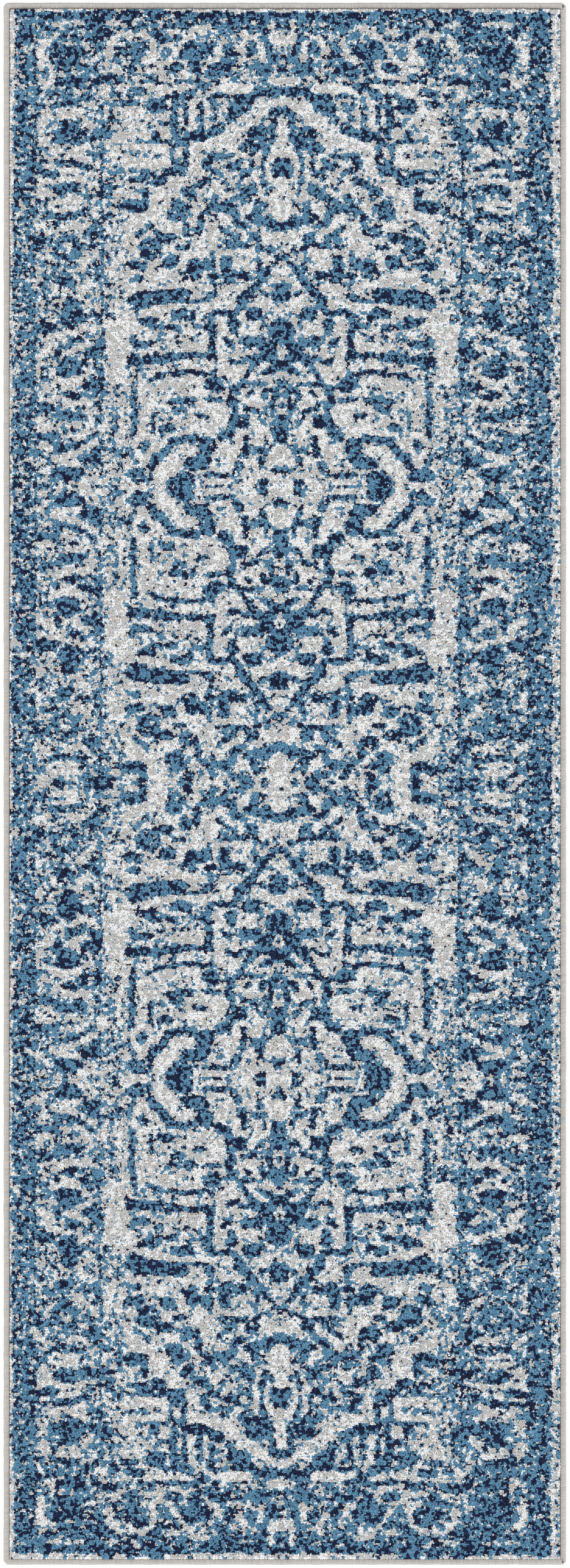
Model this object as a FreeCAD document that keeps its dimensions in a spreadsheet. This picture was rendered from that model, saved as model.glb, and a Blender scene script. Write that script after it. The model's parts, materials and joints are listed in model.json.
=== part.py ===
"""Runner rug: woven ground cloth, cut pile, and a serged edge on all four sides.

The row frame has its origin at the middle of the underside. +X runs across the rug, +Y along it
towards the head end, and +Z up through the pile. Every length is in millimetres.
"""
import FreeCAD
import Part
import math
import os

import Sketcher
from FreeCAD import Placement, Rotation, Vector

DIMENSIONS = {
    "rug_width": (790.0, "outside width over the binding"),
    "rug_length": (2195.0, "outside length over the binding"),
    "coating_thickness": (0.8, "latex size under the ground cloth"),
    "back_weft_thickness": (0.6, "lower weft shots with the chain warp"),
    "stuffer_thickness": (0.6, "straight lengthwise stuffer yarns"),
    "face_weft_thickness": (0.6, "upper weft shots"),
    "pile_height": (8.4, "tufts above the ground cloth"),
    "binding_width": (7.7, "serging, from the outer edge to its inner line"),
    "binding_radius": (2.1, "rounded outer edge of the serging"),
    "binding_inner_height": (3.5, "top of the serging at its inner line"),
    "corner_cut": (4.5, "leg of the blunt corner of the binding"),
    "cloth_margin": (3.7, "from the outer edge to the trimmed cloth inside the serging"),
    "cord_radius": (1.2, "padding cord inside the serging"),
    "cord_clearance": (0.05, "between the padding cord and its channel"),
    "lock_gap": (0.9, "between the serging and the first row of tufts"),
    "lock_radius": (0.4, "locking thread along the inner line"),
    "tail_height": (0.6, "half height of a tacked thread end"),
    "tail_width": (1.8, "half width of a tacked thread end"),
    "tail_length": (2.2, "half length of a tacked thread end"),
    "tail_inset": (4.4, "from the outer edges to the middle of a tacked thread end"),
}

# Stacked heights of the ground cloth, from the floor up.
BACK_WEFT_BOTTOM = "Sizes.coating_thickness"
STUFFER_BOTTOM = f"({BACK_WEFT_BOTTOM} + Sizes.back_weft_thickness)"
FACE_WEFT_BOTTOM = f"({STUFFER_BOTTOM} + Sizes.stuffer_thickness)"
CLOTH_TOP = f"({FACE_WEFT_BOTTOM} + Sizes.face_weft_thickness)"

# Each side: the turn in degrees that brings the left side to it, its length and half the span
# that it stands off. Seen from a side's own frame, X points inwards and Y runs along the edge.
SIDES = {
    "left": (0, "Sizes.rug_length", "Sizes.rug_width / 2"),
    "foot": (90, "Sizes.rug_width", "Sizes.rug_length / 2"),
    "right": (180, "Sizes.rug_length", "Sizes.rug_width / 2"),
    "head": (270, "Sizes.rug_width", "Sizes.rug_length / 2"),
}
# The ends of the rug that carry a tacked thread end, and the sign of their Y.
TAIL_ENDS = {"head": 1, "foot": -1}

PARTS_FOLDER = "parts"


def make_sizes(doc):
    """Spreadsheet of the driving dimensions, one alias each."""
    sheet = doc.addObject("Spreadsheet::Sheet", "Sizes")
    for row, (alias, (value, note)) in enumerate(DIMENSIONS.items(), start=1):
        sheet.set(f"A{row}", note)
        sheet.set(f"B{row}", str(value))
        sheet.setAlias(f"B{row}", alias)
    doc.recompute()


def bind(item, expressions):
    """Bind properties of an object to expressions in the sheet."""
    for name, expression in expressions.items():
        item.setExpression(name, expression)


def bind_place(item, across, along, height):
    """Bind the position of an object in the row frame."""
    bind(item, {
        "Placement.Base.x": across,
        "Placement.Base.y": along,
        "Placement.Base.z": height,
    })


def make_layer(doc, label, inset, bottom, thickness):
    """Flat layer, inset from the outside of the rug on all four sides."""
    layer = doc.addObject("Part::Box", label)
    bind(layer, {
        "Length": f"Sizes.rug_width - 2 * ({inset})",
        "Width": f"Sizes.rug_length - 2 * ({inset})",
        "Height": thickness,
    })
    bind_place(layer, f"{inset} - Sizes.rug_width / 2", f"{inset} - Sizes.rug_length / 2", bottom)
    return layer


def make_cloth(doc):
    """The latex, the layers of the ground cloth and the pile, from the floor up."""
    margin = "Sizes.cloth_margin"
    pile_inset = "Sizes.binding_width + Sizes.lock_gap"
    return [
        make_layer(doc, "latex_coating", "Sizes.binding_width", "0", "Sizes.coating_thickness"),
        make_layer(doc, "back_weft", margin, BACK_WEFT_BOTTOM, "Sizes.back_weft_thickness"),
        make_layer(doc, "stuffer_warp", margin, STUFFER_BOTTOM, "Sizes.stuffer_thickness"),
        make_layer(doc, "face_weft", margin, FACE_WEFT_BOTTOM, "Sizes.face_weft_thickness"),
        make_layer(doc, "cut_pile", pile_inset, CLOTH_TOP, "Sizes.pile_height"),
    ]


def make_strand(doc, label, side, radius, inset, end_inset, height):
    """Straight round strand along one side, inset from the outer edge and from both ends."""
    turn, length, half_span = SIDES[side]
    cosine = round(math.cos(math.radians(turn)))
    sine = round(math.sin(math.radians(turn)))
    half_length = f"({length} / 2 - ({end_inset}))"
    reach = f"({half_span} - ({inset}))"
    strand = doc.addObject("Part::Cylinder", label)
    strand.Placement = Placement(Vector(), Rotation(turn, 0, -90))
    bind(strand, {"Radius": radius, "Height": f"2 * {half_length}"})
    bind_place(
        strand,
        f"{-cosine} * {reach} + {sine} * {half_length}",
        f"{-sine} * {reach} - {cosine} * {half_length}",
        height,
    )
    return strand


def make_sketch(body, name, role):
    """Empty sketch on one of the origin planes of its own body."""
    sketch = body.newObject("Sketcher::SketchObject", name)
    plane = next(item for item in body.Origin.OriginFeatures if item.Role == role)
    sketch.AttachmentSupport = [(plane, "")]
    sketch.MapMode = "FlatFace"
    return sketch


def hold_point(sketch, curve, point, across, along):
    """Hold one point of a sketch curve at two expressions, measured from the sketch's origin."""
    for kind, axis, expression in (("DistanceX", -2, across), ("DistanceY", -1, along)):
        value = float(sketch.evalExpression(expression))
        if value == 0:
            sketch.addConstraint(Sketcher.Constraint("PointOnObject", curve, point, axis))
        else:
            held = Sketcher.Constraint(kind, -1, 1, curve, point, value)
            sketch.setExpression(f"Constraints[{sketch.addConstraint(held)}]", expression)


def add_outline(sketch, corners):
    """Closed outline of straight lines through corners given as pairs of expressions."""
    points = [
        Vector(float(sketch.evalExpression(across)), float(sketch.evalExpression(along)), 0)
        for across, along in corners
    ]
    lines = [
        sketch.addGeometry(Part.LineSegment(start, end), False)
        for start, end in zip(points, points[1:] + points[:1])
    ]
    for line, next_line in zip(lines, lines[1:] + lines[:1]):
        sketch.addConstraint(Sketcher.Constraint("Coincident", line, 2, next_line, 1))
    for line, (across, along) in zip(lines, corners):
        hold_point(sketch, line, 1, across, along)


def add_serging_profile(sketch):
    """Section of the serging: a half round outer edge, and a top that falls to the inner line."""
    centre = float(sketch.evalExpression("Sizes.binding_radius"))
    inner = float(sketch.evalExpression("Sizes.binding_width"))
    inner_height = float(sketch.evalExpression("Sizes.binding_inner_height"))
    edge_circle = Part.Circle(Vector(centre, centre, 0), Vector(0, 0, 1), centre)
    edge = sketch.addGeometry(
        Part.ArcOfCircle(edge_circle, math.radians(90), math.radians(270)), False)
    corners = [
        Vector(centre, 0, 0),
        Vector(inner, 0, 0),
        Vector(inner, inner_height, 0),
        Vector(centre, 2 * centre, 0),
    ]
    underside, inner_face, top = [
        sketch.addGeometry(Part.LineSegment(start, end), False)
        for start, end in zip(corners, corners[1:])
    ]
    for first, second in ((edge, underside), (underside, inner_face), (inner_face, top)):
        sketch.addConstraint(Sketcher.Constraint("Coincident", first, 2, second, 1))
    sketch.addConstraint(Sketcher.Constraint("Coincident", top, 2, edge, 1))
    hold_point(sketch, edge, 3, "Sizes.binding_radius", "Sizes.binding_radius")
    hold_point(sketch, edge, 1, "Sizes.binding_radius", "2 * Sizes.binding_radius")
    sketch.addConstraint(Sketcher.Constraint("Vertical", edge, 3, edge, 2))
    hold_point(sketch, inner_face, 1, "Sizes.binding_width", "0")
    hold_point(sketch, inner_face, 2, "Sizes.binding_width", "Sizes.binding_inner_height")


def cut_symmetric(body, name, sketch, length):
    """Pocket cut equally to both sides of its sketch."""
    pocket = body.newObject("PartDesign::Pocket", name)
    pocket.Profile = sketch
    pocket.SideType = "Symmetric"
    pocket.setExpression("Length", length)


def add_corner_outlines(sketch, length):
    """What the mitres and the blunt corners take off both ends of one side."""
    cut = "Sizes.corner_cut"
    width = "Sizes.binding_width"
    for sign in ("1", "-1"):
        end = f"{sign} * {length} / 2"
        add_outline(sketch, [
            (width, f"{end} - {sign} * {width}"),
            (f"{cut} / 2", f"{end} - {sign} * {cut} / 2"),
            ("0", f"{end} - {sign} * {cut}"),
            ("0", end),
            (width, end),
        ])


def make_serging(doc, label, side):
    """Overcast binding of one side, open towards the cloth and mitred at both ends."""
    turn, length, half_span = SIDES[side]
    body = doc.addObject("PartDesign::Body", label)

    profile = make_sketch(body, f"{label}_profile", "XZ_Plane")
    add_serging_profile(profile)
    wrap = body.newObject("PartDesign::Pad", f"{label}_wrap")
    wrap.Profile = profile
    wrap.SideType = "Symmetric"
    wrap.setExpression("Length", length)

    channel = make_sketch(body, f"{label}_channel_section", "XZ_Plane")
    clear_radius = "Sizes.cord_radius + Sizes.cord_clearance"
    round_hole = Part.Circle(Vector(), Vector(0, 0, 1), float(channel.evalExpression(clear_radius)))
    hole = channel.addGeometry(round_hole, False)
    hold_point(channel, hole, 3, "Sizes.binding_radius", "Sizes.binding_radius")
    radius = channel.addConstraint(Sketcher.Constraint("Radius", hole, round_hole.Radius))
    channel.setExpression(f"Constraints[{radius}]", clear_radius)
    cut_symmetric(body, f"{label}_channel", channel, f"{length} - 2 * Sizes.binding_width")

    slot = make_sketch(body, f"{label}_slot_section", "XZ_Plane")
    add_outline(slot, [
        ("Sizes.cloth_margin", BACK_WEFT_BOTTOM),
        ("Sizes.binding_width", BACK_WEFT_BOTTOM),
        ("Sizes.binding_width", CLOTH_TOP),
        ("Sizes.cloth_margin", CLOTH_TOP),
    ])
    cut_symmetric(body, f"{label}_slot", slot, f"{length} - 2 * Sizes.cloth_margin")

    corners = make_sketch(body, f"{label}_corner_outlines", "XY_Plane")
    add_corner_outlines(corners, length)
    cut_symmetric(body, f"{label}_corners", corners, "6 * Sizes.binding_radius")

    body.Placement = Placement(Vector(), Rotation(turn, 0, 0))
    cosine = round(math.cos(math.radians(turn)))
    sine = round(math.sin(math.radians(turn)))
    bind_place(body, f"{-cosine} * {half_span}", f"{-sine} * {half_span}", "0")
    return body


def make_thread_end(doc, label, sign):
    """Tacked end of the sewing thread, a small flat knot on the binding at a right corner."""
    knot = doc.addObject("Part::Ellipsoid", label)
    bind(knot, {
        "Radius1": "Sizes.tail_height",
        "Radius2": "Sizes.tail_width",
        "Radius3": "Sizes.tail_length",
    })
    bind_place(
        knot,
        "Sizes.rug_width / 2 - Sizes.tail_inset",
        f"{sign} * (Sizes.rug_length / 2 - Sizes.tail_inset)",
        "2 * Sizes.binding_radius + Sizes.tail_height",
    )
    return knot


def make_edges(doc):
    """The padding cord, the serging and the locking thread of each side, and the thread ends."""
    centre = "Sizes.binding_radius"
    lock_inset = "Sizes.binding_width + Sizes.lock_gap / 2"
    lock_end = "Sizes.binding_width + Sizes.lock_gap"
    lock_height = f"{CLOTH_TOP} + Sizes.lock_radius"
    pieces = []
    for side in SIDES:
        pieces += [
            make_strand(doc, f"edge_cord_{side}", side, "Sizes.cord_radius", centre,
                        "Sizes.binding_width", centre),
            make_serging(doc, f"serging_{side}", side),
            make_strand(doc, f"lock_stitch_{side}", side, "Sizes.lock_radius", lock_inset,
                        lock_end, lock_height),
        ]
    for end, sign in TAIL_ENDS.items():
        pieces.append(make_thread_end(doc, f"thread_end_{end}", sign))
    return pieces


def check_document(doc, pieces):
    """Stop if any object failed to build or any piece isn't one valid solid."""
    for item in doc.Objects:
        if "Invalid" in item.State or "Error" in item.State:
            raise RuntimeError(f"{item.Name} failed: {item.State}")
    for piece in pieces:
        shape = piece.Shape
        if shape.isNull() or not shape.isValid() or len(shape.Solids) != 1:
            raise RuntimeError(f"{piece.Label} is not one valid solid")


def write_parts(pieces):
    """One STEP file for each piece, named by its label."""
    os.makedirs(PARTS_FOLDER, exist_ok=True)
    for piece in pieces:
        piece.Shape.exportStep(os.path.join(PARTS_FOLDER, f"{piece.Label}.step"))
        print(f"{piece.Label:20s} {piece.Shape.Volume / 1000:10.2f} cm3")


def main():
    doc = FreeCAD.newDocument("RunnerRug")
    make_sizes(doc)
    pieces = make_cloth(doc) + make_edges(doc)
    doc.recompute()
    check_document(doc, pieces)
    write_parts(pieces)


main()
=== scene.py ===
"""Looks of the runner rug: tufts in four yarns, serged edges with their locking stitches, the
coated back, the floor, the light and the camera. Metres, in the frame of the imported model.
"""
import json
import math

import bpy
import numpy as np
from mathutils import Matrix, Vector

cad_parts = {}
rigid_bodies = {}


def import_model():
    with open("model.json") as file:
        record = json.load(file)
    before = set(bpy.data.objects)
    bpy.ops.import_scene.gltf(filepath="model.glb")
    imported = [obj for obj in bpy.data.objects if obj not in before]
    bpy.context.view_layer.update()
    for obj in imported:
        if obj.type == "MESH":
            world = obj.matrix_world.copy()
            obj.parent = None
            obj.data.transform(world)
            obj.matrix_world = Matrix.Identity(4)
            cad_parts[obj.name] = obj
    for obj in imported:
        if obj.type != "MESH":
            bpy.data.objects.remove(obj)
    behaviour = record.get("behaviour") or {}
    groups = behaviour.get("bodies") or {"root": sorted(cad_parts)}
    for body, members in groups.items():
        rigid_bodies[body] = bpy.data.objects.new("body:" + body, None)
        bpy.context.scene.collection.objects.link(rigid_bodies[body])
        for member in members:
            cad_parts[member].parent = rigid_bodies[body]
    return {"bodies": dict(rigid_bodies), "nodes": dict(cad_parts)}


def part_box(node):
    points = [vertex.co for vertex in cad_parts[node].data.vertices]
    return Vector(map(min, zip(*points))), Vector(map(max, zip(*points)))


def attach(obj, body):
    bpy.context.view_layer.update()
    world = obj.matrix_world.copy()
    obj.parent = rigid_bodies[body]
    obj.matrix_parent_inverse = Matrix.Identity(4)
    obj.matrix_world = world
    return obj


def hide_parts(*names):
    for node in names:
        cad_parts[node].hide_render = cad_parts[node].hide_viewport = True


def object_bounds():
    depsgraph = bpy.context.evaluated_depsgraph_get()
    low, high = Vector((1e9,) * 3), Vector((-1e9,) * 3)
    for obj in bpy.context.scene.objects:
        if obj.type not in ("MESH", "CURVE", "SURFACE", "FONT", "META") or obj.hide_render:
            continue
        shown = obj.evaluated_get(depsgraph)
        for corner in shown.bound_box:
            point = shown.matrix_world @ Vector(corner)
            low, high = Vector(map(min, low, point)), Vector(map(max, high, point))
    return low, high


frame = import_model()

CAD_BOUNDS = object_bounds()
BODY = next(iter(frame["bodies"]))
MM = 0.001
SEED = 7

# --- Driving sizes, in millimetres ---
HALF_WIDTH, HALF_LENGTH = CAD_BOUNDS[1][0] / MM, CAD_BOUNDS[1][1] / MM
PILE_LOW, PILE_HIGH = (np.array(corner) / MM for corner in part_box("cut_pile"))
CLOTH_TOP, PILE_TOP = PILE_LOW[2], PILE_HIGH[2]
BINDING_WIDTH = HALF_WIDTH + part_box("serging_left")[1][0] / MM
BINDING_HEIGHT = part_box("serging_left")[1][2] / MM
TUFT_COLUMNS = 380
TUFT_ROWS = 990
PITCH_ACROSS = (PILE_HIGH[0] - PILE_LOW[0]) / TUFT_COLUMNS
PITCH_ALONG = (PILE_HIGH[1] - PILE_LOW[1]) / TUFT_ROWS
PILE_SECTIONS = 8

# Tufts: lengths in millimetres, turns in radians, stagger and unevenness as shares.
STAGGER = 0.5
TUFT_WANDER = 0.16
TUFT_MARGIN = 1.0
TUFT_SHEAR = 0.6
TUFT_TURN = 0.35
TUFT_UNEVENNESS = 0.10
LEAN_BRUSHED = 0.4
LEAN_LOOSE = 0.28
PLY_DROP = 0.6
CAP_TILT = 0.35
PILE_SLOPE = 0.7
# How far the tops stay inside the pile at its sides and ends.
RIM_GAP = (0.8, 1.1)
# Outermost rows and columns of tufts that have whole stems.
RIM_TUFTS = 2
# Spread of the brushed lean, in rows and columns of tufts.
BRUSHED_SPREAD = (6, 4)
# Rings of a tuft: depth below its top, half width, half length, share of the lean.
TUFT_CROWN = ((0.2, 1.50, 2.05, 1.0),)
TUFT_STEM = ((4.0, 1.20, 1.35, 0.4), (7.8, 1.0, 1.1, 0.1))

# Binding section: lengths in millimetres; the top and the underside as shares of the width.
CORNER_CUT = 4.5
SERGING_WIDTH = BINDING_WIDTH + 0.5
SERGING_FALL = 0.7
EDGE_POINTS = 7
TOP_SHARES = (0.5, 0.75, 0.95)
LIP_DROP = 0.4
INNER_FOOT = 0.3
UNDERSIDE_SHARE = 0.6
# Power on the painted shade of the head binding, which faces away from the sun: below 1, its outer edge
# turns dark sooner.
HEAD_SHADE_POWER = 0.3

# Binding wraps: lengths in millimetres; steps and their spread for each wrap.
WRAP_PITCH = 1.5
WRAP_STEPS = 4
WRAP_RELIEF = 0.45
WRAP_FULLNESS = 0.7
WRAP_UNEVENNESS = 0.25
WRAP_WANDER = 0.12
WRAP_WANDER_SPREAD = 3
WRAP_SLANT = 0.22
FAN_LENGTH = 13.0

# Locking thread: millimetres, slants and turns in degrees, their wander in radians.
STITCH_PITCH = 3.3
STITCH_LENGTH = 2.4
STITCH_RADIUS = 0.36
STITCH_SLANT = 55
STITCH_HEIGHT = 3.9
STITCH_INSET = 0.1
# Inwards, along.
STITCH_WANDER = (0.15, 0.25)
STITCH_SLANT_WANDER = 0.15
# How far the end rows run on over the right binding, and how much higher they lie there.
STITCH_RUN_ON = 4.5
STITCH_RISE = 0.45
# Rings of a strand: place as a share of its length, size as a share of its radius.
STRAND_RINGS = ((-0.36, 0.8), (0.0, 1.0), (0.36, 0.8))
STRAND_SIDES = 6
# Tacked ends: length and scatter are shares of the CAD piece; turn and rise for each strand.
TANGLE_STRANDS = 7
TANGLE_LENGTH = 0.75
TANGLE_SCATTER = 0.22
TANGLE_START = 60
TANGLE_TURN = 50
TANGLE_TURN_WANDER = 0.3
TANGLE_RISE = 0.08
TANGLE_SINK = 0.3

# Back: points along one row of weft, relief in millimetres, wave in radians for each column.
BACK_STEPS = 4
BACK_COLUMNS = 11
BACK_RELIEF = 0.3
BACK_UNEVENNESS = 0.2
BACK_WAVE = 2.1

# Pile yarns: the darkest and the lightest tufts of each colour.
YARNS = {
    "navy": ((0.003, 0.005, 0.018), (0.016, 0.028, 0.085)),
    "blue": ((0.055, 0.140, 0.235), (0.145, 0.330, 0.490)),
    "greige": ((0.500, 0.465, 0.420), (0.530, 0.565, 0.600)),
    "ivory": ((0.760, 0.730, 0.690), (0.800, 0.840, 0.880)),
}
BINDING_COLOUR = (0.535, 0.508, 0.485)
THREAD_COLOUR = (0.130, 0.122, 0.117)
LATEX_COLOUR = (0.58, 0.54, 0.46)
WEFT_COLOUR = (0.42, 0.38, 0.30)
WARP_COLOUR = (0.60, 0.57, 0.50)
CORD_COLOUR = (0.62, 0.58, 0.50)
CORD_PITCH = 1.2
# Painted shade at the roots: its share of the yarn's colour, and the depths where it starts and is
# darkest.
ROOT_PAINTED_SHADE = 0.55
ROOT_SPAN = (1.2, 6.0)
# Scales of the noise, and spans of its values that a look runs over.
FIBRE_SCALE = 1600.0
FINE_FIBRE_SCALE = 2400.0
GRAIN_SCALE = 900.0
PATCH_SCALE = 90.0
FILM_SCALE = 35.0
NOISE_SPAN = (0.3, 0.7)
SHARP_SPAN = (0.35, 0.65)
PATCH_SPAN = (0.4, 0.7)
# Span of the binding's depth values that its painted shade runs over.
BINDING_SHADE_SPAN = (0.2, 1.0)
WARP_SPAN = (0.2, 0.9)

# Weaver's irregularity: displacement in millimetres, speckle in tone, spreads in tufts.
SPARE_CELLS = 4
CONTRAST = 0.90
RAGGED = 0.8
RAGGED_SPREAD = (2.0, 2.2)
FINE_SPECKLE = 0.14
FINE_SPREAD = (0.72, 0.82)
COARSE_SPECKLE = 0.03
COARSE_SPREAD = (1.8, 2.0)
LOOSE_SPECKLE = 0.10
LOOSE_SPREAD = (0.6, 0.7)
PALE_SHARE = 0.20
PALE_SPECKLE = 0.12
# Where one yarn takes over from another.
LIGHT_ABOVE = 0.06
BLUE_ABOVE = -0.085
IVORY_ABOVE = 0.10
# Tone gained from the middle to the head end and to the left side.
FADE_ALONG = 0.03
FADE_ACROSS = 0.025
# Long mirror line: its shift to the left, and its bow, deepest nearer the foot.
BOW_START = 3.4
BOW_DEPTH = 5.8
BOW_POWER = 1.6
# Mirror line across the rug: its shift to the head end, and its slope.
CENTRE_SHIFT = 1.9
CENTRE_LEAN = 0.004

# Stage: metres, but the sensor in millimetres and the sun's spread in degrees.
FLOOR_SIZE = 400.0
FLOOR_GAP = 0.0005
FLOOR_COLOUR = (0.92, 0.92, 0.92)
FLOOR_ROUGHNESS = 0.9
SKY_STRENGTH = 1.0
SUN_STRENGTH = 1.3
SUN_SPREAD = 25
SUN_FROM = (0.15, -0.50, 1.0)
CAMERA_DISTANCE = 20.0
SENSOR_WIDTH = 36
PICTURE_MARGIN = 1.0037


# --- The woven design ---
# Lengths in this section are millimetres on one quarter of the rug: across from the long centre
# line, and along from the head or foot edge. The other quarters mirror it.
# A tone runs from 0, all navy yarn, to 1, all ivory yarn.
NAVY, BLUE, MIXED, GREIGE, IVORY = 0.10, 0.30, 0.50, 0.68, 0.90
REPEAT_MIRROR = 682.0
MOTIF_EDGE = 3.0

# Ground of each band: tone, across from and to, along from and to.
BANDS = (
    (0.74, 0, 395, 0, 16),
    (MIXED, 0, 345, 16, 690),
    (0.27, 0, 378, 14, 40),
    (0.37, 349, 379, 14, 690),
    (0.66, 379, 395, 14, 690),
    (0.30, 345, 349, 60, 690),
    (0.55, 262, 345, 130, 690),
    (0.57, 222, 251, 118, 690),
    (0.25, 251, 255, 118, 690),
    (0.52, 255, 262, 130, 690),
    (0.68, 0, 222, 118, 690),
)

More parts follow.
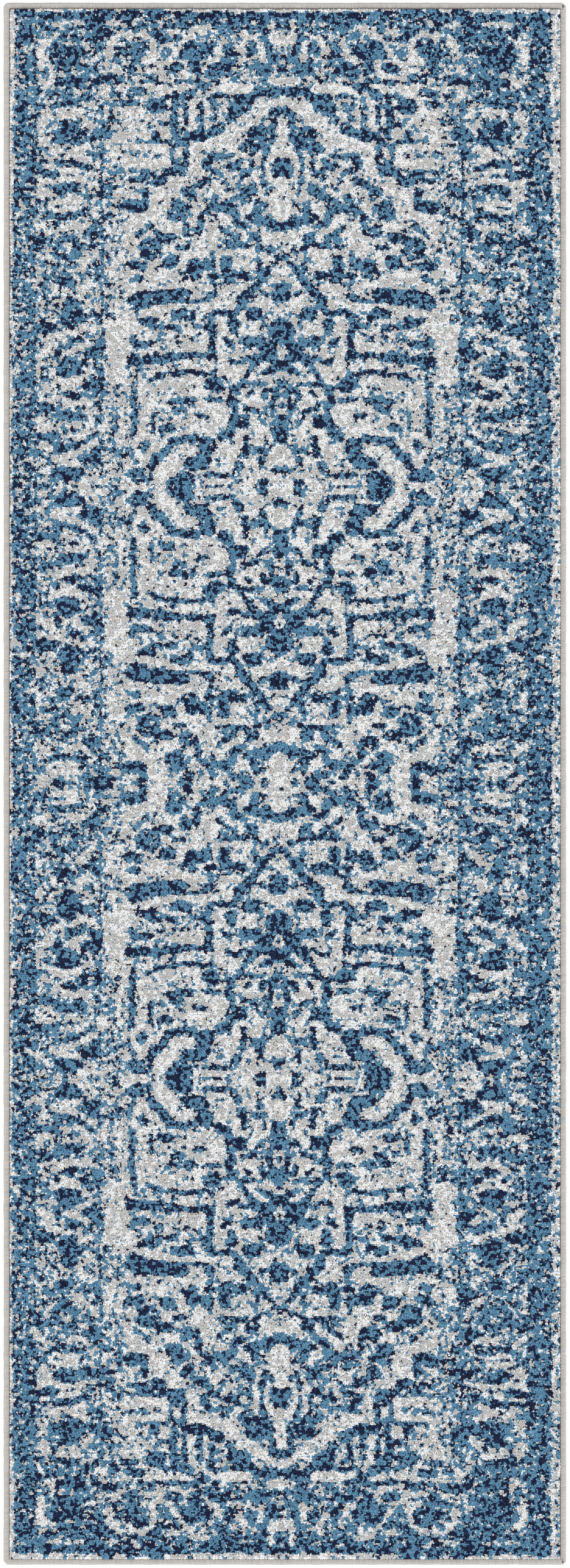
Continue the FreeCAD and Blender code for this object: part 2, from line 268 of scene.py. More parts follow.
# Motifs: tone, width, then the points of a line across, along, across, along ...
MOTIFS = (
    # perimeter line
    (IVORY, 5, 0, 11, 165, 11),
    (IVORY, 4, 203, 11, 232, 11),
    (IVORY, 4, 282, 11, 330, 12),
    (IVORY, 7, 381, 20, 381, 160),
    (GREIGE, 4, 383, 160, 383, 225),
    (IVORY, 5, 382, 225, 382, 300),
    (GREIGE, 4, 383, 300, 383, 420),
    (IVORY, 4, 383, 420, 383, 460),
    (GREIGE, 4, 383, 460, 383, 640),
    # end guard
    (NAVY, 12, 40, 22, 72, 25),
    (NAVY, 8, 88, 18, 108, 20, 112, 28),
    (NAVY, 9, 95, 30, 90, 28),
    (BLUE, 22, 130, 25, 190, 24),
    (NAVY, 9, 135, 32, 150, 16),
    (NAVY, 9, 172, 12, 190, 14),
    (NAVY, 7, 206, 12, 216, 12),
    (NAVY, 9, 240, 14, 265, 14),
    (NAVY, 8, 245, 22, 265, 24),
    (BLUE, 10, 222, 28, 230, 32),
    (GREIGE, 8, 12, 32, 18, 36),
    (IVORY, 8, 102, 37, 128, 38),
    (IVORY, 8, 204, 27, 210, 30),
    (GREIGE, 7, 118, 24, 120, 26),
    (IVORY, 7, 146, 42, 158, 43),
    (GREIGE, 8, 232, 32, 245, 30),
    (GREIGE, 8, 282, 31, 330, 30),
    (NAVY, 8, 300, 22, 345, 24),
    (NAVY, 10, 345, 22, 372, 18),
    # side guard
    (NAVY, 20, 362, 45, 366, 62),
    (BLUE, 18, 362, 70, 362, 105),
    # end border
    (IVORY, 10, 4, 58, 14, 48),
    (NAVY, 11, 25, 52, 14, 82),
    (NAVY, 10, 38, 62, 46, 74),
    (IVORY, 8, 30, 60, 28, 80),
    (NAVY, 9, 64, 74, 76, 75),
    (NAVY, 12, 22, 94, 38, 92),
    (NAVY, 12, 80, 93, 98, 90),
    (IVORY, 9, 56, 58, 60, 70),
    (IVORY, 9, 86, 62, 92, 80, 100, 82),
    (NAVY, 24, 114, 70, 134, 68),
    (NAVY, 10, 122, 85, 124, 98),
    (IVORY, 8, 128, 50, 144, 58, 150, 70, 160, 82, 178, 92),
    (NAVY, 17, 148, 92, 158, 96),
    (NAVY, 9, 144, 52, 164, 54),
    (NAVY, 16, 176, 46, 182, 48),
    (IVORY, 8, 180, 56, 180, 84),
    (IVORY, 7, 186, 54, 194, 46, 230, 45),
    (NAVY, 20, 204, 68, 218, 70),
    (BLUE, 14, 194, 66, 198, 74),
    (BLUE, 14, 226, 68, 232, 74),
    (IVORY, 9, 236, 52, 243, 62, 243, 80),
    (NAVY, 10, 212, 88, 214, 98),
    (NAVY, 14, 248, 46, 268, 50),
    (NAVY, 18, 298, 45, 306, 48),
    (NAVY, 12, 254, 68, 262, 64),
    (NAVY, 20, 290, 72, 316, 70),
    (NAVY, 13, 284, 92, 312, 88),
    (IVORY, 9, 186, 80, 196, 88),
    (IVORY, 10, 338, 58, 338, 92),
    (GREIGE, 8, 318, 45, 330, 60),
    (NAVY, 13, 276, 106, 292, 113, 314, 111),
    (NAVY, 10, 242, 104, 264, 114),
    (GREIGE, 8, 232, 92, 258, 96),
    (IVORY, 9, 322, 104, 332, 116),
    (NAVY, 9, 264, 94, 272, 94),
    (BLUE, 7, 116, 114, 150, 113),
    (NAVY, 8, 170, 115, 186, 114),
    (GREIGE, 10, 130, 104, 170, 106),
    (IVORY, 10, 168, 98, 190, 96),
    # head of the field
    (IVORY, 12, 2, 112, 14, 112),
    (IVORY, 14, 48, 122, 70, 122, 98, 126),
    (IVORY, 11, 126, 121, 144, 122),
    (IVORY, 17, 170, 124, 188, 124),
    (IVORY, 13, 216, 124, 234, 123),
    (IVORY, 10, 246, 130, 258, 126),
    (NAVY, 13, 4, 128, 20, 126),
    (NAVY, 15, 34, 126, 44, 136),
    (NAVY, 9, 56, 134, 66, 134),
    (BLUE, 9, 78, 134, 90, 130),
    (BLUE, 13, 106, 118, 120, 126, 140, 136),
    (NAVY, 8, 160, 134, 168, 136),
    (NAVY, 13, 198, 128, 214, 129),
    (NAVY, 8, 232, 131, 242, 131),
    (BLUE, 11, 260, 122, 276, 134),
    (BLUE, 9, 306, 127, 342, 128),
    # pediment and its chain of blossoms
    (IVORY, 15, 0, 140, 24, 151, 46, 166, 66, 181, 88, 196, 110, 203, 128, 206),
    (IVORY, 16, 122, 206, 122, 226, 132, 244, 150, 262),
    (IVORY, 12, 70, 196, 62, 206, 60, 216),
    (NAVY, 22, 54, 144, 66, 150),
    (NAVY, 11, 70, 152, 76, 168),
    (BLUE, 8, 98, 132, 98, 164),
    (BLUE, 10, 113, 144, 115, 178),
    (IVORY, 7, 106, 144, 106, 174),
    (IVORY, 8, 88, 166, 82, 172),
    (IVORY, 8, 126, 142, 127, 180),
    (NAVY, 8, 136, 146, 136, 168),
    (NAVY, 11, 150, 134, 150, 176),
    (IVORY, 7, 143, 166, 143, 176),
    (NAVY, 14, 88, 177, 102, 184, 114, 191, 132, 189),
    (NAVY, 11, 132, 190, 150, 202),
    (BLUE, 10, 140, 180, 152, 190),
    (BLUE, 9, 136, 200, 136, 236),
    (BLUE, 9, 156, 200, 156, 236),
    (IVORY, 9, 146, 212, 148, 218),
    (BLUE, 14, 140, 232, 156, 230),
    (NAVY, 8, 136, 243, 160, 241),
    # left blossoms
    (NAVY, 10, 4, 152, 14, 160, 14, 196),
    (NAVY, 22, 24, 186, 38, 184),
    (IVORY, 7, 2, 168, 2, 214),
    (NAVY, 10, 22, 203, 38, 203),
    (NAVY, 13, 48, 201, 54, 206),
    (NAVY, 7, 40, 212, 42, 218),
    # right of the chain
    (NAVY, 19, 172, 148, 180, 147),
    (NAVY, 8, 150, 172, 168, 172),
    (NAVY, 9, 202, 142, 220, 143),
    (IVORY, 12, 200, 156, 222, 156),
    (GREIGE, 10, 178, 172, 200, 176),
    (IVORY, 10, 164, 186, 168, 192),
    (NAVY, 12, 178, 186, 180, 192),
    (NAVY, 7, 160, 198, 204, 198),
    (IVORY, 10, 212, 190, 216, 182),
    (IVORY, 15, 168, 206, 218, 206),
    (IVORY, 15, 168, 227, 218, 227),
    (IVORY, 10, 164, 206, 164, 228),
    (BLUE, 8, 171, 215, 175, 215),
    (MIXED, 9, 188, 214, 222, 212),
    (BLUE, 7, 160, 237, 224, 238),
    (NAVY, 17, 168, 252, 174, 254),
    (NAVY, 9, 182, 242, 196, 246),
    (NAVY, 9, 200, 252, 212, 250),
    (GREIGE, 9, 190, 258, 220, 262),
    (IVORY, 12, 152, 252, 154, 262),
    # disc of the end medallion
    (NAVY, 30, 0, 233, 2, 236),
    (IVORY, 6, 12, 212, 20, 222, 22, 236, 18, 252),
    (BLUE, 7, 22, 212, 27, 226, 27, 246, 22, 262),
    (IVORY, 7, 34, 214, 35, 240, 36, 250),
    (BLUE, 7, 44, 222, 42, 236, 52, 244),
    (BLUE, 7, 44, 222, 56, 222, 60, 234, 54, 244),
    (IVORY, 8, 50, 231, 51, 232),
    (NAVY, 11, 66, 233, 72, 230),
    (NAVY, 8, 72, 216, 84, 220, 100, 215),
    (NAVY, 12, 104, 226, 106, 232),
    (NAVY, 9, 102, 236, 86, 243),
    (BLUE, 14, 52, 242, 56, 246),
    (BLUE, 16, 42, 262, 52, 270),
    (NAVY, 7, 76, 256, 82, 254),
    (IVORY, 10, 64, 252, 72, 252),
    (IVORY, 10, 86, 262, 100, 268),
    (NAVY, 11, 104, 252, 120, 260, 136, 268),
    (BLUE, 10, 122, 262, 128, 278),
    # bottle and hooks
    (IVORY, 30, 0, 262, 0, 296),
    (BLUE, 9, 16, 264, 20, 270),
    (BLUE, 17, 28, 288, 34, 292),
    (NAVY, 13, 0, 318, 18, 310, 46, 301),
    (IVORY, 11, 46, 288, 56, 290),
    (BLUE, 9, 48, 272, 66, 276),
    (NAVY, 10, 52, 315, 64, 311, 65, 298, 78, 285),
    (NAVY, 12, 94, 276, 98, 288),
    (NAVY, 10, 66, 296, 84, 290, 98, 290, 112, 297, 116, 314),
    (NAVY, 12, 118, 325, 134, 324),
    (BLUE, 9, 134, 316, 136, 326),
    (IVORY, 18, 84, 304, 88, 322),
    (BLUE, 8, 94, 306, 97, 307),
    (IVORY, 13, 8, 332, 26, 336),
    (NAVY, 11, 32, 334, 42, 327, 46, 334),
    (IVORY, 9, 52, 332, 60, 322),
    (NAVY, 8, 64, 336, 72, 326, 86, 320),
    (BLUE, 9, 16, 350, 40, 342, 90, 346),
    (BLUE, 7, 60, 340, 82, 338),
    (IVORY, 11, 100, 322, 100, 340),
    (IVORY, 10, 52, 354, 84, 352, 130, 353, 160, 344),
    (IVORY, 15, 50, 366, 62, 368),
    (NAVY, 8, 98, 352, 98, 370),
    (NAVY, 17, 76, 366, 80, 372),
    (NAVY, 18, 108, 372, 126, 372),
    (NAVY, 14, 122, 386, 132, 384),
    (IVORY, 8, 108, 358, 120, 358),
    (NAVY, 18, 152, 366, 160, 368),
    (IVORY, 12, 138, 364, 140, 372),
    (BLUE, 28, 146, 292, 148, 296),
    (NAVY, 12, 146, 302, 156, 302),
    (IVORY, 26, 170, 276, 172, 288),
    (NAVY, 10, 192, 266, 192, 282),
    (NAVY, 16, 194, 288, 212, 287),
    (IVORY, 12, 166, 300, 190, 302, 212, 308),
    (GREIGE, 12, 206, 268, 212, 274),
    (BLUE, 9, 186, 315, 204, 330),
    (IVORY, 9, 214, 312, 214, 328),
    (BLUE, 12, 152, 332, 166, 329),
    (IVORY, 9, 146, 318, 158, 318),
    (BLUE, 34, 182, 347, 183, 348),
    (NAVY, 9, 134, 346, 144, 345),
    (GREIGE, 9, 112, 344, 126, 344),
    (NAVY, 12, 196, 372, 212, 371),
    (BLUE, 11, 200, 388, 214, 394),
    (IVORY, 14, 236, 378, 238, 388),
    (IVORY, 10, 160, 386, 184, 386),
    # bars and brackets
    (NAVY, 8, 48, 384, 102, 386),
    (BLUE, 5, 58, 394, 84, 395),
    (BLUE, 10, 6, 360, 20, 376, 32, 388),
    (BLUE, 7, 34, 362, 32, 378),
    (NAVY, 11, 26, 388, 40, 402, 52, 414, 58, 430),
    (NAVY, 26, 0, 408, 2, 410),
    (NAVY, 7, 22, 413, 27, 409),
    (IVORY, 18, 70, 406, 74, 420),
    (IVORY, 12, 18, 422, 30, 424),
    (IVORY, 12, 128, 399, 150, 402),
    (BLUE, 10, 96, 392, 96, 414),
    (NAVY, 9, 104, 422, 128, 423),
    (NAVY, 21, 138, 413, 180, 416, 208, 420),
    (NAVY, 20, 196, 424, 206, 424),
    (IVORY, 10, 68, 428, 160, 430, 196, 440, 230, 444),
    (IVORY, 14, 196, 400, 214, 402),
    (NAVY, 10, 62, 437, 90, 437, 99, 444, 99, 496),
    (NAVY, 11, 92, 498, 130, 497, 168, 503, 208, 505),
    (NAVY, 20, 36, 440, 40, 440),
    (NAVY, 30, 0, 461, 4, 464),
    (BLUE, 6, 22, 448, 27, 458, 26, 472),
    (IVORY, 24, 42, 460, 46, 462),
    (NAVY, 12, 64, 453, 70, 453),
    (NAVY, 9, 67, 456, 67, 464),
    (IVORY, 9, 84, 450, 84, 480),
    (NAVY, 13, 128, 443, 140, 438, 148, 441),
    (BLUE, 9, 108, 456, 122, 453),
    (NAVY, 8, 146, 458, 174, 457, 200, 449),
    (NAVY, 8, 176, 448, 192, 448),
    (BLUE, 6, 120, 470, 128, 471),
    (BLUE, 6, 141, 470, 149, 471),
    (NAVY, 9, 210, 472, 204, 484, 184, 482),
    (IVORY, 8, 108, 488, 150, 486),
    (NAVY, 16, 46, 477, 30, 480, 20, 494, 4, 510),
    (NAVY, 16, 12, 484, 24, 500, 38, 506),
    (NAVY, 10, 38, 506, 50, 530, 64, 544),
    (NAVY, 8, 80, 474, 68, 484),
    (NAVY, 7, 48, 500, 60, 508, 76, 502),
    (IVORY, 16, 84, 496, 80, 516),
    (IVORY, 9, 62, 520, 66, 534),
    (NAVY, 9, 14, 520, 26, 521),
    (IVORY, 9, 24, 512, 36, 518, 44, 532),
    (BLUE, 6, 22, 538, 44, 537),
    (BLUE, 15, 2, 536, 4, 538),
    (NAVY, 7, 96, 522, 140, 520, 174, 528, 190, 537),
    (BLUE, 10, 146, 514, 152, 516),
    (NAVY, 18, 92, 537, 100, 537),
    (IVORY, 10, 116, 532, 140, 532, 168, 540),
    (IVORY, 8, 122, 512, 138, 512),
    (IVORY, 30, 232, 462, 232, 524),
    (IVORY, 14, 208, 452, 216, 466),
    (NAVY, 15, 206, 504, 210, 505),
    (BLUE, 10, 206, 528, 206, 544),
    (IVORY, 9, 110, 478, 112, 490),
    # towards the medallion
    (NAVY, 12, 68, 544, 68, 598),
    (NAVY, 18, 50, 590, 62, 590),
    (BLUE, 13, 4, 550, 10, 550),
    (NAVY, 8, 11, 560, 12, 574),
    (NAVY, 8, 21, 550, 24, 556),
    (IVORY, 24, 42, 556, 46, 560),
    (BLUE, 8, 42, 550, 46, 552),
    (NAVY, 8, 34, 576, 52, 570),
    (NAVY, 20, 2, 590, 0, 614),
    (BLUE, 7, 22, 596, 32, 586),
    (IVORY, 12, 32, 602, 40, 588),
    (IVORY, 26, 84, 580, 96, 594, 116, 594),
    (IVORY, 9, 84, 566, 104, 566),
    (NAVY, 7, 104, 583, 118, 581),
    (NAVY, 10, 84, 560, 104, 556),
    (NAVY, 9, 88, 543, 104, 542),
    (NAVY, 10, 122, 561, 154, 562),
    (BLUE, 9, 136, 572, 150, 572),
    (IVORY, 10, 104, 550, 110, 548),
    (IVORY, 12, 190, 562, 190, 572),
    (IVORY, 12, 190, 590, 190, 594),
    (IVORY, 10, 190, 540, 194, 546),
    (NAVY, 6, 180, 580, 180, 604),
    (NAVY, 10, 208, 550, 207, 572, 208, 606),
    (NAVY, 11, 154, 598, 168, 600),
    (IVORY, 8, 225, 568, 225, 600),
    (IVORY, 10, 138, 606, 152, 610),
    (IVORY, 13, 54, 608, 66, 622, 82, 632),
    (NAVY, 15, 72, 606, 82, 612),
    (NAVY, 24, 102, 624, 108, 632),
    (NAVY, 11, 120, 615, 150, 616, 164, 634, 184, 654),
    (IVORY, 11, 120, 630, 142, 633, 154, 650),
    (IVORY, 20, 156, 652, 168, 668),
    (NAVY, 18, 104, 648, 128, 650),
    (NAVY, 24, 132, 672, 146, 678),
    (IVORY, 9, 192, 608, 176, 625, 192, 642),
    (IVORY, 9, 192, 608, 208, 625, 192, 642),
    (IVORY, 9, 193, 640, 194, 650),
    (BLUE, 13, 191, 622, 193, 624),
    (BLUE, 20, 190, 665, 206, 664),
    (BLUE, 8, 212, 630, 204, 648),
    (IVORY, 7, 190, 683, 212, 683),
    (NAVY, 8, 49, 614, 49, 638),
    (NAVY, 9, 20, 630, 38, 632),
    (IVORY, 12, 26, 604, 28, 614),
    (IVORY, 22, 2, 634, 10, 646),
    (BLUE, 15, 58, 652, 62, 660),
    (IVORY, 7, 70, 652, 84, 645, 98, 652, 84, 659, 70, 652),
    (BLUE, 6, 78, 652, 88, 651),
    (BLUE, 7, 66, 666, 106, 666),
    (BLUE, 7, 72, 683, 108, 683),
    (NAVY, 10, 0, 660, 6, 658),
    (BLUE, 17, 26, 680, 30, 684),
    (IVORY, 28, 2, 682, 6, 682),
    (IVORY, 14, 46, 678, 56, 688),
    (IVORY, 10, 34, 650, 44, 650),
    (BLUE, 8, 24, 642, 30, 652),
    (IVORY, 9, 74, 675, 100, 675),
    # side border
    (NAVY, 10, 286, 142, 304, 142, 326, 149),
    (IVORY, 8, 286, 152, 316, 154),
    (IVORY, 12, 332, 158, 336, 170),
    (NAVY, 22, 284, 190, 312, 190),
    (NAVY, 12, 290, 174, 310, 172),
    (NAVY, 14, 244, 186, 266, 190),
    (IVORY, 9, 272, 206, 288, 208, 300, 218),
    (IVORY, 8, 276, 166, 270, 176),
    (NAVY, 9, 254, 212, 270, 218),
    (NAVY, 10, 288, 227, 318, 227),
    (NAVY, 8, 270, 234, 284, 232),
    (IVORY, 6, 270, 222, 284, 222, 296, 218),
    (IVORY, 6, 286, 240, 314, 236),
    (NAVY, 9, 318, 242, 348, 240),
    (IVORY, 8, 276, 251, 306, 250, 340, 254),
    (NAVY, 15, 294, 263, 314, 264),
    (BLUE, 12, 250, 262, 274, 274),
    (BLUE, 9, 240, 274, 256, 270),
    (IVORY, 7, 276, 284, 300, 280, 326, 284),
    (BLUE, 9, 276, 296, 296, 304, 316, 304),
    (IVORY, 6, 286, 292, 320, 294),
    (BLUE, 12, 244, 300, 264, 316),
    (NAVY, 10, 254, 322, 274, 324),
    (IVORY, 8, 276, 316, 306, 318),
    (IVORY, 9, 336, 312, 342, 318),
    (NAVY, 9, 286, 347, 292, 336, 302, 333, 314, 336, 319, 347, 314, 358, 302, 362, 292, 358, 286, 347),
    (GREIGE, 12, 298, 347, 306, 347),
    (NAVY, 10, 340, 332, 346, 346),
    (NAVY, 12, 294, 393, 312, 393),
    (BLUE, 14, 260, 380, 280, 384),
    (IVORY, 8, 270, 362, 280, 370),
    (IVORY, 9, 262, 400, 286, 402),
    (NAVY, 30, 296, 432, 298, 444),
    (BLUE, 6, 254, 440, 280, 440),
    (NAVY, 14, 324, 458, 332, 462),
    (IVORY, 7, 262, 458, 284, 462, 320, 470),
    (IVORY, 7, 274, 480, 284, 486, 300, 492),
    (NAVY, 6, 280, 475, 298, 475),
    (NAVY, 13, 258, 490, 272, 494),
    (NAVY, 9, 312, 486, 314, 496),
    (IVORY, 8, 320, 480, 334, 492),
    (NAVY, 24, 292, 514, 304, 516),
    (IVORY, 7, 268, 520, 284, 530, 310, 534, 324, 524),
    (NAVY, 7, 256, 534, 280, 540),
    (NAVY, 8, 284, 554, 306, 553),
    (IVORY, 8, 272, 566, 296, 563, 318, 556),
    (NAVY, 9, 314, 571, 338, 569),
    (NAVY, 12, 286, 583, 310, 582),
    (IVORY, 9, 246, 598, 252, 600),
    (IVORY, 8, 324, 598, 344, 600),
    (IVORY, 7, 272, 606, 300, 612),
    (NAVY, 11, 318, 611, 342, 612),
    (NAVY, 7, 266, 612, 288, 624, 318, 628),
    (NAVY, 6, 236, 627, 262, 629),
    (IVORY, 8, 264, 622, 288, 634, 322, 642),
    (NAVY, 15, 260, 640, 274, 646),
    (NAVY, 24, 290, 663, 306, 663),
    (IVORY, 8, 248, 674, 262, 670, 282, 672),
    (BLUE, 8, 252, 683, 272, 683),
    (IVORY, 8, 286, 650, 312, 648),
)


def smooth_noise(draw, shape, spread):
    """Noise of zero mean and unit variance, blurred over spread = (rows, columns) cells."""
    along = np.fft.fftfreq(shape[0])[:, None]
    across = np.fft.rfftfreq(shape[1])[None, :]
    reach = (along * spread[0]) ** 2 + (across * spread[1]) ** 2
    spectrum = np.fft.rfft2(draw.standard_normal(shape)) * np.exp(-2 * math.pi ** 2 * reach)
    field = np.fft.irfft2(spectrum, shape)
    return (field - field.mean()) / field.std()


def distance_to_line(across, along, points):
    """Distance from each place to a line through points."""
    nearest = np.full(across.shape, np.inf)
    for (x0, y0), (x1, y1) in zip(points[:-1], points[1:]):
        step_x, step_y = x1 - x0, y1 - y0
        share = ((across - x0) * step_x + (along - y0) * step_y) / (step_x ** 2 + step_y ** 2)
        share = np.clip(share, 0, 1)
        gap = np.hypot(across - x0 - share * step_x, along - y0 - share * step_y)
        nearest = np.minimum(nearest, gap)
    return nearest


def design_tone(across, along):
    """Tone of the design at places on one quarter, before the yarns are chosen."""
    tone = np.full(across.shape, MIXED)
    for level, left, right, start, end in BANDS:
        inside = (across >= left) & (across < right) & (along >= start) & (along < end)
        tone[inside] = level
    for level, width, *line in MOTIFS:
        gap = distance_to_line(across, along, np.reshape(line, (-1, 2)))
        cover = np.clip((width / 2 - gap) / MOTIF_EDGE + 0.5, 0, 1)
        tone += (level - tone) * cover
    return tone


def quarter_values(draw):
    """Two values on the tuft grid of one quarter, with the repeat unit mirrored.

    The first parts dark yarns from light ones. The second picks between the two yarns of each.
    """
    shape = rows, columns = TUFT_ROWS // 2 + SPARE_CELLS, TUFT_COLUMNS // 2 + SPARE_CELLS
    start = HALF_LENGTH - PILE_HIGH[1] - SPARE_CELLS * PITCH_ALONG
    across = (np.arange(columns) + 0.5)[None, :] * PITCH_ACROSS + np.zeros((rows, 1))
    along = start + (np.arange(rows) + 0.5)[:, None] * PITCH_ALONG + np.zeros((1, columns))
    ragged_across = RAGGED * smooth_noise(draw, shape, RAGGED_SPREAD)
    ragged_along = RAGGED * smooth_noise(draw, shape, RAGGED_SPREAD)
    tone = CONTRAST * (design_tone(across + ragged_across, along + ragged_along) - MIXED)
    lightness = tone + FINE_SPECKLE * smooth_noise(draw, shape, FINE_SPREAD)
    lightness += COARSE_SPECKLE * smooth_noise(draw, shape, COARSE_SPREAD)
    paleness = PALE_SHARE * tone + PALE_SPECKLE * smooth_noise(draw, shape, FINE_SPREAD)
    folded = np.where(along[:, 0] > REPEAT_MIRROR, 2 * REPEAT_MIRROR - along[:, 0], along[:, 0])
    source = np.rint((folded - start) / PITCH_ALONG - 0.5).astype(int)
    return lightness[source], paleness[source]


def tuft_places():
    """Where the tufts stand, row by row from the foot: alternate rows are staggered."""
    column, row = np.meshgrid(np.arange(TUFT_COLUMNS), np.arange(TUFT_ROWS))
    x = (column + 0.5 + STAGGER * (row % 2 - 0.5)) * PITCH_ACROSS + PILE_LOW[0]
    y = (row + 0.5) * PITCH_ALONG + PILE_LOW[1]
    return x, y


def yarn_map(draw):
    """Yarn number of every tuft, row by row from the foot; the mirror lines bow and lean a little."""
    quarter_lightness, quarter_paleness = quarter_values(draw)
    x, y = tuft_places()
    from_head = (PILE_HIGH[1] - y) / (PILE_HIGH[1] - PILE_LOW[1])
    bow = BOW_DEPTH * np.sin(math.pi * from_head ** BOW_POWER) * (1 - np.abs(x / HALF_WIDTH) ** 3)
    across = np.abs(x + BOW_START + bow)
    from_end = PILE_HIGH[1] - np.abs(y - CENTRE_SHIFT + CENTRE_LEAN * x)
    rows, columns = quarter_lightness.shape
    row = np.clip((from_end / PITCH_ALONG).astype(int) + SPARE_CELLS, 0, rows - 1)
    column = np.clip((across / PITCH_ACROSS).astype(int), 0, columns - 1)
    lightness = quarter_lightness[row, column]
    lightness += LOOSE_SPECKLE * smooth_noise(draw, row.shape, FINE_SPREAD)
    lightness += FADE_ALONG * y / HALF_LENGTH - FADE_ACROSS * x / HALF_WIDTH
    paleness = quarter_paleness[row, column]
    paleness += PALE_SPECKLE * smooth_noise(draw, row.shape, LOOSE_SPREAD)
    light = lightness > LIGHT_ABOVE
    dark_yarn = (paleness > BLUE_ABOVE).astype(int)
    light_yarn = 2 + (paleness > IVORY_ABOVE).astype(int)
    return np.where(light, light_yarn, dark_yarn)


# --- Mesh helpers ---
def new_object(name, data):
    """New object, linked to the scene."""
    made = bpy.data.objects.new(name, data)
    bpy.context.scene.collection.objects.link(made)
    return made


def add_piece(name, points, faces, node, material, layers=None):
    """Piece from points in millimetres and faces of equal size, with its point values."""
    mesh = bpy.data.meshes.new(name)
    points = np.asarray(points, dtype=np.float32) * MM
    faces = np.asarray(faces, dtype=np.int32)
    count, size = faces.shape
    mesh.vertices.add(len(points))
    mesh.vertices.foreach_set("co", points.ravel())
    mesh.loops.add(count * size)
    mesh.loops.foreach_set("vertex_index", faces.ravel())
    mesh.polygons.add(count)
    mesh.polygons.foreach_set("loop_start", np.arange(count, dtype=np.int32) * size)
    mesh.polygons.foreach_set("use_smooth", np.full(count, True))
    mesh.update(calc_edges=True)
    for layer, values in (layers or {}).items():
        attribute = mesh.attributes.new(layer, "FLOAT", "POINT")
        attribute.data.foreach_set("value", np.asarray(values, dtype=np.float32))
    add_flat_map(mesh, points, faces)
    mesh.materials.append(material)
    piece = new_object(name, mesh)
    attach(piece, BODY)
    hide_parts(node)
    return piece


def add_flat_map(mesh, points, faces):
    """Texture map of a piece seen from above, filling the unit square."""
    low, high = points.min(axis=0), points.max(axis=0)
    flat = (points[:, :2] - low[:2]) / (high[:2] - low[:2])
    layer = mesh.uv_layers.new(name="OFBake")
    layer.data.foreach_set("uv", flat[faces.ravel()].ravel())


# --- Pile ---
def tuft_faces(ring_count):
    """Triangles of one closed tuft: a cap of four round its middle, its rings, and its root."""
    faces = []
    root = 1 + 4 * ring_count
    for corner in range(4):
        following = (corner + 1) % 4
        faces.append((0, 1 + corner, 1 + following))
        faces.append((root, root - 4 + following, root - 4 + corner))
    for ring in range(ring_count - 1):
        upper, lower = 1 + 4 * ring, 5 + 4 * ring
        for corner in range(4):
            following = (corner + 1) % 4
            faces.append((upper + corner, lower + corner, upper + following))
            faces.append((lower + corner, lower + following, upper + following))
    return np.array(faces)


def tuft_points(x, y, top, lean, turn, spread, rings):
    """Points of many tufts: the middle of the cap, the rings of four corners, and the root.

    The cap is longer along the rug than across it. It slopes down towards the foot, and its
    corners stand high and low in turn, so that it shows two plies.
    """
    blocks = [np.stack([x + lean[0], y + lean[1], top], axis=1)[:, None]]
    for ring, (depth, half_width, half_length, share) in enumerate(rings):
        corners = np.arange(4)[None, :] * (math.pi / 2) + ring * math.pi / 4 + turn[:, None]
        offset_x = half_width * spread[:, None] * np.cos(corners)
        offset_y = half_length * spread[:, None] * np.sin(corners)
        ply = PLY_DROP * (np.arange(4) % 2)[None, :] - CAP_TILT * offset_y if ring == 0 else 0.0
        ring_x = x[:, None] + share * lean[0][:, None] + offset_x
        ring_y = y[:, None] + share * lean[1][:, None] + offset_y
        ring_z = np.minimum(top[:, None] - depth - ply + np.zeros_like(ring_x), PILE_TOP)
        blocks.append(np.stack([ring_x, ring_y, ring_z], axis=2))
    blocks.append(np.stack([x, y, np.full(x.shape, CLOTH_TOP)], axis=1)[:, None])
    return np.concatenate(blocks, axis=1)


def tuft_lean(draw, shape):
    """Lean of every tuft along one axis: brushed in patches, and loose."""
    brushed = LEAN_BRUSHED * smooth_noise(draw, shape, BRUSHED_SPREAD)
    return brushed + LEAN_LOOSE * draw.standard_normal(shape)


def kept_in(places, lean, axis):
    """Lean of the tufts along one axis, less where they would reach over the binding."""
    low, high = PILE_LOW[axis] + RIM_GAP[axis], PILE_HIGH[axis] - RIM_GAP[axis]
    return np.clip(places + lean, low, high) - places


